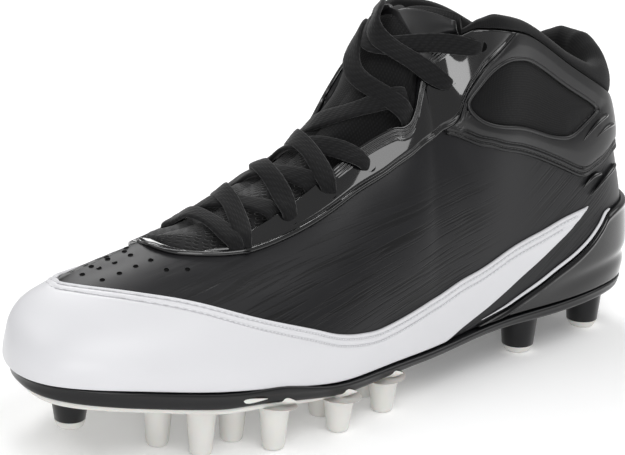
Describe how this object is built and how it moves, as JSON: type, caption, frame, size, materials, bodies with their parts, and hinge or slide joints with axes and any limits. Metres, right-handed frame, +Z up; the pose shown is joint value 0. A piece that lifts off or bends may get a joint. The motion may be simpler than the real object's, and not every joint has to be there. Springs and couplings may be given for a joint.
{
  "type": "american football cleat",
  "caption": "Left mid-cut american football cleat: black laced upper with a white toe overlay, padded ankle collar and a studded moulded plate sole.",
  "frame": {"origin": "on the floor, under the middle of the shoe's box; the floor is the plane of the stud tips", "axes": "+X towards the toe, +Y towards the outer side of the foot, +Z up"},
  "size_m": [0.2982, 0.099, 0.1511],
  "materials": {
    "black_synthetic": "matte synthetic leather with a fine brushed line",
    "patent_leather": "patent gloss",
    "white_synthetic": "smooth satin",
    "satin_synthetic": "satin, slightly padded",
    "black_textile": "woven textile",
    "black_tpu": "moulded, semi-gloss",
    "white_tpu": "moulded, slightly translucent",
    "lace_webbing": "flat woven webbing"
  },
  "bodies": {
    "root": {"upper": "black_synthetic", "toe_overlay": "white_synthetic", "eyestay": "patent_leather", "cuff": "satin_synthetic", "ankle_pad_outer": "black_textile", "ankle_pad_inner": "black_textile", "heel_counter": "patent_leather", "counter_piping_outer": "white_synthetic", "counter_piping_inner": "white_synthetic", "tongue": "black_textile", "collar": "black_textile", "insole": "black_textile", "outsole": "black_tpu", "forefoot_plate": "white_tpu", "toe_stud": "black_tpu", "stud_tip_toe": "white_tpu", "stud_tip_heel_outer_front": "white_tpu", "stud_tip_heel_outer_back": "white_tpu", "stud_tip_heel_inner_front": "white_tpu", "stud_tip_heel_inner_back": "white_tpu", "lace_bar_1": "lace_webbing", "lace_cross_1": "lace_webbing", "lace_cross_2": "lace_webbing", "lace_cross_3": "lace_webbing", "lace_cross_4": "lace_webbing", "lace_cross_5": "lace_webbing"}
  },
  "joints": []
}
